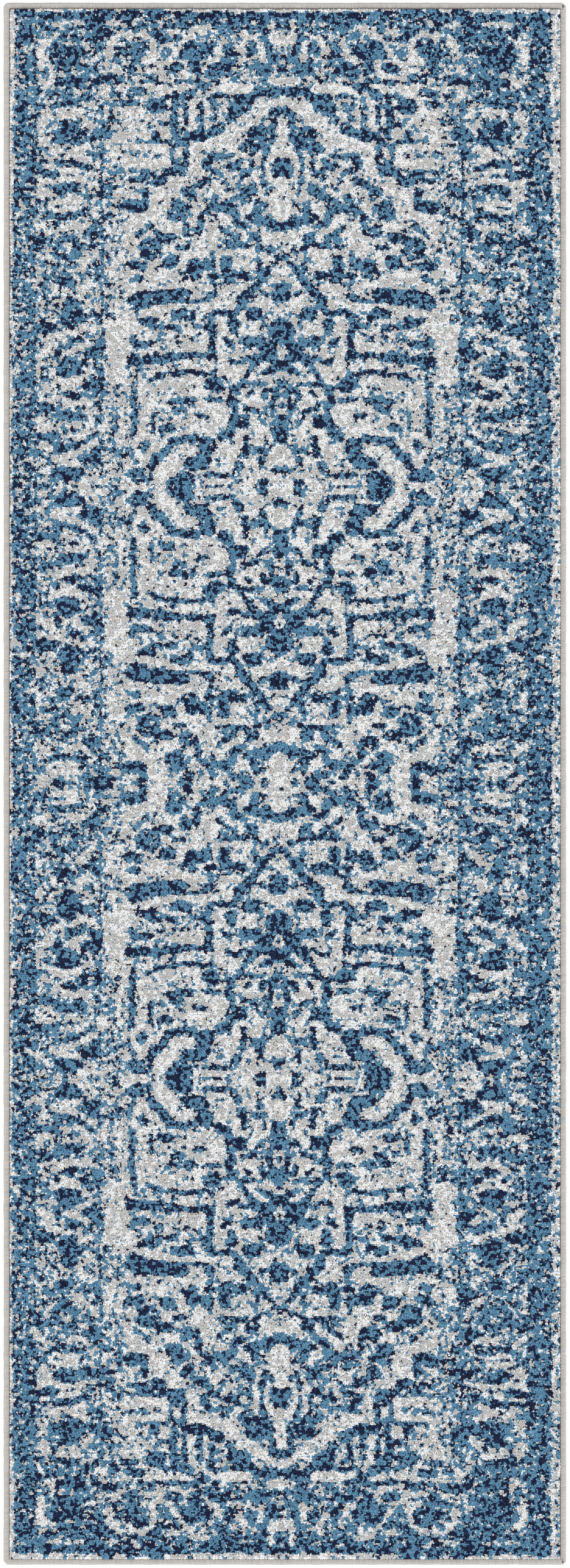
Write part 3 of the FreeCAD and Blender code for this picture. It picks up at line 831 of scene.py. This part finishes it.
def make_pile(draw, materials):
    """All tufts, as one piece for each yarn in each section of the length."""
    yarns = yarn_map(draw)
    shape = yarns.shape
    column, row = np.meshgrid(np.arange(shape[1]), np.arange(shape[0]))
    x, y = tuft_places()
    x += TUFT_WANDER * draw.standard_normal(shape)
    y += TUFT_WANDER * draw.standard_normal(shape)
    x = np.clip(x, PILE_LOW[0] + TUFT_MARGIN, PILE_HIGH[0] - TUFT_MARGIN)
    y = np.clip(y, PILE_LOW[1] + TUFT_MARGIN, PILE_HIGH[1] - TUFT_MARGIN)
    top = PILE_TOP - TUFT_SHEAR * draw.random(shape) ** 2
    lean_x = kept_in(x, tuft_lean(draw, shape), 0)
    lean_y = kept_in(y, tuft_lean(draw, shape) - PILE_SLOPE, 1)
    turn = TUFT_TURN * draw.standard_normal(shape)
    spread = 1 + TUFT_UNEVENNESS * draw.standard_normal(shape)
    shade = draw.random(shape)
    from_side = np.minimum(column, shape[1] - 1 - column)
    from_end = np.minimum(row, shape[0] - 1 - row)
    rim = np.minimum(from_side, from_end) < RIM_TUFTS
    section = row * PILE_SECTIONS // shape[0]
    pieces = []
    for number, yarn in enumerate(YARNS):
        for part in range(PILE_SECTIONS):
            points, faces, values, depths = [], [], [], []
            offset = 0
            for rings, chosen in ((TUFT_CROWN, ~rim), (TUFT_CROWN + TUFT_STEM, rim)):
                pick = (yarns == number) & (section == part) & chosen
                tufts = tuft_points(x[pick], y[pick], top[pick], (lean_x[pick], lean_y[pick]),
                                    turn[pick], spread[pick], rings)
                count, size = tufts.shape[:2]
                triangles = tuft_faces(len(rings))[None] + (np.arange(count) * size)[:, None, None]
                points.append(tufts.reshape(-1, 3))
                faces.append(triangles.reshape(-1, 3) + offset)
                values.append(np.repeat(shade[pick], size))
                # Depth below the tuft's top, which the pile's materials turn into painted shade at the
                # roots.
                depths.append((top[pick][:, None] - tufts[:, :, 2]).ravel())
                offset += count * size
            layers = {"shade": np.concatenate(values), "depth": np.concatenate(depths)}
            pieces.append(add_piece(
                f"pile_{yarn}_{part + 1}", np.concatenate(points), np.concatenate(faces),
                "cut_pile", materials[yarn], layers))
    return pieces


# --- Binding ---
THREAD_ENDS = ("head", "foot")
# Each side: turn in degrees from the left one, half its length, distance from the middle.
SIDES = {
    "left": (0, HALF_LENGTH, HALF_WIDTH),
    "foot": (90, HALF_WIDTH, HALF_LENGTH),
    "right": (180, HALF_LENGTH, HALF_WIDTH),
    "head": (270, HALF_WIDTH, HALF_LENGTH),
}


def place_on_side(points, side):
    """Points given inwards, along and up on one side, in the frame of the rug."""
    turn, _, reach = SIDES[side]
    cosine, sine = round(math.cos(math.radians(turn))), round(math.sin(math.radians(turn)))
    inwards, along = points[..., 0] - reach, points[..., 1]
    placed = np.stack([cosine * inwards - sine * along, sine * inwards + cosine * along,
                       points[..., 2]], axis=-1)
    return placed.reshape(-1, 3)


def serging_profile():
    """Closed section of the binding: inwards and up, how far the yarn bulges, and how much painted
    shade each point gets.
    """
    radius = BINDING_HEIGHT / 2
    angles = np.radians(np.linspace(270, 90, EDGE_POINTS))
    round_edge = [(radius + radius * math.cos(a), radius + radius * math.sin(a)) for a in angles]
    inner_height = BINDING_HEIGHT - SERGING_FALL
    top = [(SERGING_WIDTH * share, BINDING_HEIGHT - SERGING_FALL * share ** 2)
           for share in TOP_SHARES]
    inner = [(SERGING_WIDTH, inner_height - LIP_DROP), (BINDING_WIDTH, INNER_FOOT)]
    underside = [(BINDING_WIDTH * UNDERSIDE_SHARE, 0.0)]
    outline = np.array(round_edge + top + inner + underside)
    # One value for each point, in the same four groups.
    bulge = np.array([0.0] + [1.0] * 6 + [1.0, 1.0, 0.9] + [0.3, 0.0] + [0.0])
    # Painted shade: full on the underside and the inner foot, fading out up the outer roll to the top.
    profile_shade = np.array([1.0, 1.0, 1.0, 0.8, 0.45, 0.1, 0.0] + [0.0] * 3 + [0.0, 1.0] + [1.0])
    return outline, bulge, profile_shade


def fanned(inwards, along, half_side):
    """Inwards and along for the points of the wraps, fanned towards the blunt corners."""
    share = inwards / SERGING_WIDTH
    blunted = (CORNER_CUT + (SERGING_WIDTH - CORNER_CUT) * share) / (2 - share)
    limit = half_side - np.where(inwards < CORNER_CUT, blunted, inwards)
    fan_start = half_side - FAN_LENGTH
    beyond = np.clip((np.abs(along) - fan_start) / FAN_LENGTH, 0, 1)[:, None]
    reach = np.minimum(np.abs(along), fan_start)[:, None] + beyond * (limit - fan_start)
    cut = np.maximum(CORNER_CUT - (half_side - reach), 0)
    inwards = cut + (SERGING_WIDTH - cut) * share
    slant = WRAP_SLANT * inwards * (1 - beyond)
    return inwards, np.sign(along)[:, None] * reach + slant


def tube_faces(steps, size):
    """Triangles of a closed tube: its rings of size points, then the middles of both ends."""
    start = (np.arange(steps - 1) * size)[:, None]
    first = start + np.arange(size)[None, :]
    second = start + (np.arange(size)[None, :] + 1) % size
    groups = [np.stack([first, second, second + size], axis=-1),
              np.stack([first, second + size, first + size], axis=-1)]
    for number, (station, order) in enumerate(((0, -1), (steps - 1, 1))):
        ring = station * size + np.arange(size)
        centre = np.full(size, steps * size + number)
        groups.append(np.stack([centre, ring, np.roll(ring, -1)], axis=-1)[:, ::order])
    return np.concatenate([group.reshape(-1, 3) for group in groups])


def make_serging(draw, side, material):
    """Binding yarn of one side, wrap beside wrap."""
    _, half_side, _ = SIDES[side]
    outline, bulge, profile_shade = serging_profile()
    # The head end faces away from the sun: stronger painted shade on its outer edge.
    if side == "head":
        profile_shade = profile_shade ** HEAD_SHADE_POWER
    wraps = int(2 * half_side / WRAP_PITCH)
    steps = wraps * WRAP_STEPS + 1
    wander_spread = (WRAP_STEPS * WRAP_WANDER_SPREAD, 0)
    wander = WRAP_WANDER * smooth_noise(draw, (steps, 1), wander_spread)
    wrap_size = np.repeat(draw.random(wraps + 1), WRAP_STEPS)[:steps]
    phase = np.arange(steps) / WRAP_STEPS
    fullness = 1 - WRAP_UNEVENNESS + WRAP_UNEVENNESS * wrap_size
    rib = np.abs(np.sin(math.pi * phase)) ** WRAP_FULLNESS * fullness
    outward = outline - outline.mean(axis=0)
    outward /= np.linalg.norm(outward, axis=1)[:, None]
    lift = (rib[:, None] - 1.0) * bulge[None, :] * WRAP_RELIEF + wander * bulge[None, :]
    inwards = outline[None, :, 0] + lift * outward[None, :, 0]
    height = np.maximum(outline[None, :, 1] + lift * outward[None, :, 1], 0)
    inwards, along = fanned(inwards, np.linspace(-half_side, half_side, steps), half_side)
    placed = place_on_side(np.stack([inwards, along, height], axis=-1), side)
    size = len(outline)
    ends = [placed[:size].mean(axis=0), placed[-size:].mean(axis=0)]
    # Painted shade in the grooves between the wraps and on the lower parts of the section.
    depth = np.maximum((1 - rib)[:, None] * bulge[None, :], profile_shade)
    layers = {
        "shade": np.append(np.repeat(wrap_size, size), [0.5, 0.5]),
        "depth": np.append(depth, [1.0, 1.0]),
    }
    return add_piece(f"serging_yarn_{side}", np.vstack([placed, ends]), tube_faces(steps, size),
                     f"serging_{side}", material, layers)


def capsule(length):
    """Points and triangles of a rounded strand along X, its middle at the origin."""
    turns = 2 * math.pi * np.arange(STRAND_SIDES) / STRAND_SIDES
    circle = np.stack([0 * turns, np.cos(turns), np.sin(turns)], axis=-1) * STITCH_RADIUS
    rings = [circle * size + [share * length, 0, 0] for share, size in STRAND_RINGS]
    points = np.vstack([*rings, [-length / 2, 0, 0], [length / 2, 0, 0]])
    return points, tube_faces(len(STRAND_RINGS), STRAND_SIDES)


def laid_strands(length, angles, places):
    """Points and triangles of rounded strands, each turned by its angle and moved to its place."""
    points, faces = capsule(length)
    cosine, sine = np.cos(angles)[:, None], np.sin(angles)[:, None]
    x, y, z = points.T
    turned = np.broadcast_arrays(cosine * x - sine * y, sine * x + cosine * y, z)
    starts = np.arange(len(angles)) * len(points)
    return np.stack(turned, axis=-1) + places[:, None], (faces + starts[:, None, None]).reshape(-1, 3)


def make_lock_stitches(draw, side, material):
    """Row of short slanting stitches that holds the binding along its inner line.

    The rows of both ends run on over the right binding, to the tacked thread ends.
    """
    _, half_side, _ = SIDES[side]
    half_row = half_side - BINDING_WIDTH
    length = 2 * half_row + (STITCH_RUN_ON if side in THREAD_ENDS else 0)
    count = int(length / STITCH_PITCH)
    along = (np.arange(count) + 0.5) * (length / count) - half_row
    height = STITCH_HEIGHT + np.where(along > half_row, STITCH_RISE, 0)
    along = along * (-1 if side == "foot" else 1)
    along += STITCH_WANDER[1] * draw.standard_normal(count)
    inwards = SERGING_WIDTH - STITCH_INSET + STITCH_WANDER[0] * draw.standard_normal(count)
    angles = math.radians(STITCH_SLANT) + STITCH_SLANT_WANDER * draw.standard_normal(count)
    places = np.stack([inwards, along, height], axis=-1)
    points, faces = laid_strands(STITCH_LENGTH, angles, places)
    return add_piece(f"lock_stitches_{side}", place_on_side(points, side), faces,
                     f"lock_stitch_{side}", material)


def make_thread_end(draw, end, material):
    """Tacked end of the sewing thread at a right corner: a few short strands in a flat tangle."""
    low, high = (np.array(corner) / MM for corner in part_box(f"thread_end_{end}"))
    centre, size = (low + high) / 2, high - low
    angles, places = [], []
    for strand in range(TANGLE_STRANDS):
        turn = math.radians(TANGLE_START + TANGLE_TURN * strand)
        angles.append(turn + TANGLE_TURN_WANDER * draw.standard_normal())
        shift = draw.uniform(-TANGLE_SCATTER, TANGLE_SCATTER, 2) * size[:2]
        places.append(centre + [*shift, TANGLE_RISE * strand - TANGLE_SINK])
    length = size[1] * TANGLE_LENGTH
    points, faces = laid_strands(length, np.array(angles), np.array(places))
    return add_piece(f"thread_tangle_{end}", points.reshape(-1, 3), faces,
                     f"thread_end_{end}", material)


# --- Back ---
def make_coated_back(material):
    """Latex-coated underside, with a rib for every row of weft; a thin closed sheet."""
    low, high = (np.array(corner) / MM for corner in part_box("latex_coating"))
    rows = TUFT_ROWS * BACK_STEPS + 1
    x = np.linspace(low[0], high[0], BACK_COLUMNS)
    y = np.linspace(low[1], high[1], rows)
    groove = BACK_RELIEF * (0.5 + 0.5 * np.cos(2 * math.pi * np.arange(rows) / BACK_STEPS))
    wave = BACK_UNEVENNESS * np.cos(np.arange(BACK_COLUMNS) * BACK_WAVE)
    groove = groove[:, None] * (1 - BACK_UNEVENNESS + wave)[None, :]
    under = np.stack(np.broadcast_arrays(x[None, :], y[:, None], groove), axis=-1)
    over = np.stack(np.broadcast_arrays(x[None, :], y[:, None], high[2]), axis=-1)
    grid = np.arange(rows * BACK_COLUMNS).reshape(rows, BACK_COLUMNS)
    cells = np.stack([grid[:-1, :-1], grid[:-1, 1:], grid[1:, 1:], grid[1:, :-1]], axis=-1)
    cells = cells.reshape(-1, 4)
    rim = np.concatenate([grid[0, :], grid[1:, -1], grid[-1, -2::-1], grid[-2:0:-1, 0]])
    rim_next = np.roll(rim, -1)
    total = grid.size
    walls = np.stack([rim, rim_next, rim_next + total, rim + total], axis=-1)
    faces = np.concatenate([cells[:, ::-1], cells + total, walls])
    points = np.concatenate([under.reshape(-1, 3), over.reshape(-1, 3)])
    return add_piece("coated_back", points, faces, "latex_coating", material)


# --- Materials ---
class Graph:
    """Short hand for one material's node tree."""

    def __init__(self, name, sheen=0.0):
        self.material = bpy.data.materials.new(name)
        self.material.use_nodes = True
        self.tree = self.material.node_tree
        self.shader = self.tree.nodes["Principled BSDF"]
        self.shader.inputs["Sheen Weight"].default_value = sheen
        self.shader.inputs["Specular IOR Level"].default_value = 0.1
        self.place = self.add("ShaderNodeTexCoord").outputs["Object"]

    def add(self, kind, inputs=None, **settings):
        node = self.tree.nodes.new(kind)
        for name, value in settings.items():
            setattr(node, name, value)
        for key, value in (inputs or {}).items():
            if isinstance(value, bpy.types.NodeSocket):
                self.tree.links.new(value, node.inputs[key])
            else:
                node.inputs[key].default_value = value
        return node

    def noise(self, scale, detail):
        node = self.add("ShaderNodeTexNoise", {"Vector": self.place, "Scale": scale, "Detail": detail})
        return node.outputs["Fac"]

    def strands(self, direction, pitch, distortion, detail):
        """Yarns side by side, pitch millimetres apart."""
        inputs = {"Vector": self.place, "Scale": 1 / (pitch * MM * 2 * math.pi),
                  "Distortion": distortion, "Detail": detail}
        return self.add("ShaderNodeTexWave", inputs, bands_direction=direction).outputs["Fac"]

    def value_of(self, layer):
        return self.add("ShaderNodeAttribute", attribute_name=layer).outputs["Fac"]

    def remap(self, value, span, to=(0.0, 1.0)):
        node = self.add("ShaderNodeMapRange", {
            "Value": value, "From Min": span[0], "From Max": span[1], "To Min": to[0], "To Max": to[1]})
        return node.outputs["Result"]

    def blend(self, share, first, second):
        """Mix of two colours: 0, 6 and 7 are the sockets of its share and its colours."""
        node = self.add("ShaderNodeMix", {0: share, 6: first, 7: second}, data_type="RGBA")
        return node.outputs[2]

    def finish(self, colour, roughness, height, bump_depth):
        """Link the colour, the roughness and a bump of some depth in metres to the shader."""
        bump = self.add("ShaderNodeBump", {"Height": height, "Strength": 1.0, "Distance": bump_depth})
        normal = bump.outputs["Normal"]
        for name, output in (("Base Color", colour), ("Roughness", roughness), ("Normal", normal)):
            self.tree.links.new(output, self.shader.inputs[name])
        return self.material


def tinted(colour, factor=1.0):
    """Opaque colour, lighter or darker by a factor."""
    return (*(min(channel * factor, 1.0) for channel in colour), 1.0)


def pile_material(yarn, darkest, lightest):
    """Cut yarn: each tuft a little lighter or darker, fibres in its colour, and painted shade darkening
    it towards the roots.
    """
    graph = Graph(f"pile_{yarn}", sheen=0.05)
    fibres = graph.noise(FIBRE_SCALE, detail=3.0)
    middle = [(dark + light) / 2 for dark, light in zip(darkest, lightest)]
    tuft = graph.blend(graph.value_of("shade"), tinted(darkest), tinted(lightest))
    fleck = graph.remap(fibres, NOISE_SPAN, to=(0.0, 0.3))
    flecked = graph.blend(fleck, tuft, tinted(middle, 0.6))
    # Painted shade towards the roots, growing with the depth below the tuft's top.
    depth = graph.remap(graph.value_of("depth"), ROOT_SPAN)
    root_shaded = graph.blend(depth, flecked, tinted(middle, ROOT_PAINTED_SHADE))
    roughness = graph.remap(fibres, NOISE_SPAN, to=(0.75, 0.95))
    return graph.finish(root_shaded, roughness, fibres, bump_depth=0.0003)


def binding_material():
    """Overcast yarn: warm light grey, with painted shade between the wraps and on the lower outer roll
    and underside.
    """
    graph = Graph("binding_yarn")
    fibres = graph.noise(FIBRE_SCALE, detail=3.0)
    wrap = graph.blend(graph.value_of("shade"), tinted(BINDING_COLOUR, 0.90),
                       tinted(BINDING_COLOUR, 1.08))
    # Painted shade from the depth values: between the wraps, on the outer roll and underneath.
    groove = graph.remap(graph.value_of("depth"), BINDING_SHADE_SPAN)
    wrap_shaded = graph.blend(groove, wrap, tinted(BINDING_COLOUR, 0.6))
    patch = graph.remap(graph.noise(PATCH_SCALE, detail=2.0), PATCH_SPAN, to=(0.0, 0.25))
    patchy = graph.blend(patch, wrap_shaded, tinted(BINDING_COLOUR, 0.85))
    roughness = graph.remap(fibres, NOISE_SPAN, to=(0.7, 0.9))
    return graph.finish(patchy, roughness, fibres, bump_depth=0.0002)


def thread_material():
    """Fine twisted sewing thread, nearly black with a brown cast."""
    graph = Graph("lock_thread", sheen=0.1)
    fibres = graph.noise(FINE_FIBRE_SCALE, detail=2.0)
    colour = graph.blend(graph.remap(fibres, SHARP_SPAN), tinted(THREAD_COLOUR, 0.6),
                         tinted(THREAD_COLOUR, 1.5))
    roughness = graph.remap(fibres, NOISE_SPAN, to=(0.6, 0.85))
    return graph.finish(colour, roughness, fibres, bump_depth=0.0001)


def latex_material():
    """Woven back under a thin, slightly uneven film of latex."""
    graph = Graph("latex_back")
    film = graph.noise(FILM_SCALE, detail=4.0)
    grain = graph.noise(GRAIN_SCALE, detail=2.0)
    warp = graph.strands("X", PITCH_ACROSS, distortion=0.6, detail=1.0)
    woven = graph.blend(graph.remap(warp, WARP_SPAN), tinted(LATEX_COLOUR, 0.75),
                        tinted(LATEX_COLOUR, 1.1))
    filmed = graph.remap(film, SHARP_SPAN, to=(0.0, 0.6))
    colour = graph.blend(filmed, woven, tinted(LATEX_COLOUR))
    roughness = graph.remap(film, NOISE_SPAN, to=(0.55, 0.8))
    height = graph.add("ShaderNodeMath", {0: warp, 1: grain}, operation="ADD").outputs[0]
    return graph.finish(colour, roughness, height, bump_depth=0.0003)


def strand_material(name, colour, direction, pitch):
    """Plain ground yarns lying side by side."""
    graph = Graph(name)
    strands = graph.strands(direction, pitch, distortion=0.8, detail=2.0)
    fibres = graph.noise(FIBRE_SCALE, detail=2.0)
    striped = graph.blend(strands, tinted(colour, 0.55), tinted(colour))
    fleck = graph.remap(fibres, PATCH_SPAN, to=(0.0, 0.4))
    flecked = graph.blend(fleck, striped, tinted(colour, 0.8))
    roughness = graph.remap(fibres, NOISE_SPAN, to=(0.8, 0.95))
    return graph.finish(flecked, roughness, strands, bump_depth=0.0003)


def dress_hidden_layers():
    """Materials of the CAD pieces that stay: the ground cloth's layers and the padding cords."""
    weft = strand_material("weft_yarn", WEFT_COLOUR, "Y", PITCH_ALONG)
    warp = strand_material("warp_yarn", WARP_COLOUR, "X", PITCH_ACROSS)
    cord = strand_material("padding_cord", CORD_COLOUR, "DIAGONAL", CORD_PITCH)
    dressed = {"face_weft": weft, "back_weft": weft, "stuffer_warp": warp}
    dressed.update({f"edge_cord_{side}": cord for side in SIDES})
    for node, material in dressed.items():
        frame["nodes"][node].material_slots[0].material = material


# --- Stage ---
def make_floor():
    """Plain white floor."""
    half = FLOOR_SIZE / 2
    mesh = bpy.data.meshes.new("floor")
    corners = [(-half, -half, 0), (half, -half, 0), (half, half, 0), (-half, half, 0)]
    mesh.from_pydata(corners, [], [(0, 1, 2, 3)])
    material = bpy.data.materials.new("floor")
    material.use_nodes = True
    shader = material.node_tree.nodes["Principled BSDF"]
    shader.inputs["Base Color"].default_value = tinted(FLOOR_COLOUR)
    shader.inputs["Roughness"].default_value = FLOOR_ROUGHNESS
    mesh.materials.append(material)
    floor = new_object("floor", mesh)
    floor.location.z = -FLOOR_GAP


def make_light():
    """Bright even studio: white surroundings, and one soft sun from beyond the foot end."""
    scene = bpy.context.scene
    world = bpy.data.worlds.new("studio")
    world.use_nodes = True
    background = world.node_tree.nodes["Background"]
    background.inputs["Color"].default_value = (1, 1, 1, 1)
    background.inputs["Strength"].default_value = SKY_STRENGTH
    scene.world = world
    sun = new_object("sun", bpy.data.lights.new("sun", "SUN"))
    sun.data.energy = SUN_STRENGTH
    sun.data.angle = math.radians(SUN_SPREAD)
    sun.rotation_mode = "QUATERNION"
    sun.rotation_quaternion = Vector(SUN_FROM).to_track_quat("Z", "Y")
    scene.view_settings.view_transform = "Standard"


def make_camera():
    """Camera straight above the rug, with its head end at the top of the picture."""
    low, high = (Vector(corner) for corner in CAD_BOUNDS)
    centre = (low + high) / 2
    data = bpy.data.cameras.new("camera")
    data.sensor_width = SENSOR_WIDTH
    height = (high.y - low.y) * PICTURE_MARGIN
    data.lens = data.sensor_width * CAMERA_DISTANCE / height
    data.clip_end = 10 * CAMERA_DISTANCE
    camera = new_object("camera", data)
    camera.location = (centre.x, centre.y, high.z + CAMERA_DISTANCE)
    bpy.context.scene.camera = camera


def main():
    draw = np.random.default_rng(SEED)
    pile_materials = {yarn: pile_material(yarn, *dye) for yarn, dye in YARNS.items()}
    binding = binding_material()
    thread = thread_material()
    dress_hidden_layers()
    trimmings = make_pile(draw, pile_materials)
    for side in SIDES:
        trimmings.append(make_serging(draw, side, binding))
        trimmings.append(make_lock_stitches(draw, side, thread))
    for end in THREAD_ENDS:
        trimmings.append(make_thread_end(draw, end, thread))
    back = make_coated_back(latex_material())
    make_floor()
    make_light()
    make_camera()


main()
